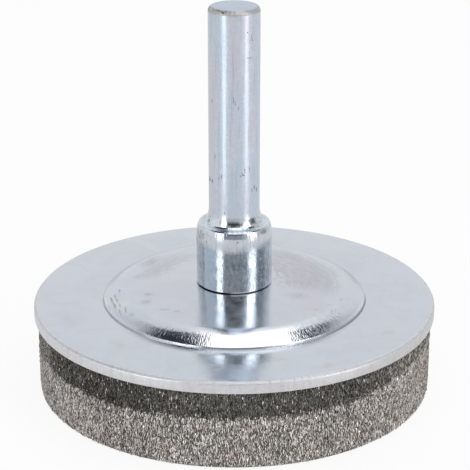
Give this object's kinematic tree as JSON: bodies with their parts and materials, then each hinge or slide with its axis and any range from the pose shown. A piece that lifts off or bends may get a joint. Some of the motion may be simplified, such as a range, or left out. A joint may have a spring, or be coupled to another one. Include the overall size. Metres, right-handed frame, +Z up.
{
  "type": "diamond sharpening bit",
  "caption": "Round-shank sharpening bit: a grit-coated cup drum under a slightly wider pressed guide plate with a raised centre and a turned collar.",
  "frame": {"origin": "centre of the drum's lower face, on the surface the bit stands on", "axes": "+Z up the shank along the axis of rotation; the part is round about it, so +X is free"},
  "size_m": [0.0508, 0.0508, 0.0489],
  "materials": {
    "turned_steel": "turned steel, thinly plated, satin with fine rings and small dark pits",
    "plated_sheet": "zinc-plated pressed sheet, glossy, slightly blue, with fine scratches",
    "diamond_grit": "coarse diamond grains bonded in nickel, rough and sparkling"
  },
  "bodies": {
    "root": {"arbor": "turned_steel", "guide_plate": "plated_sheet", "diamond_drum": "diamond_grit"}
  },
  "joints": []
}
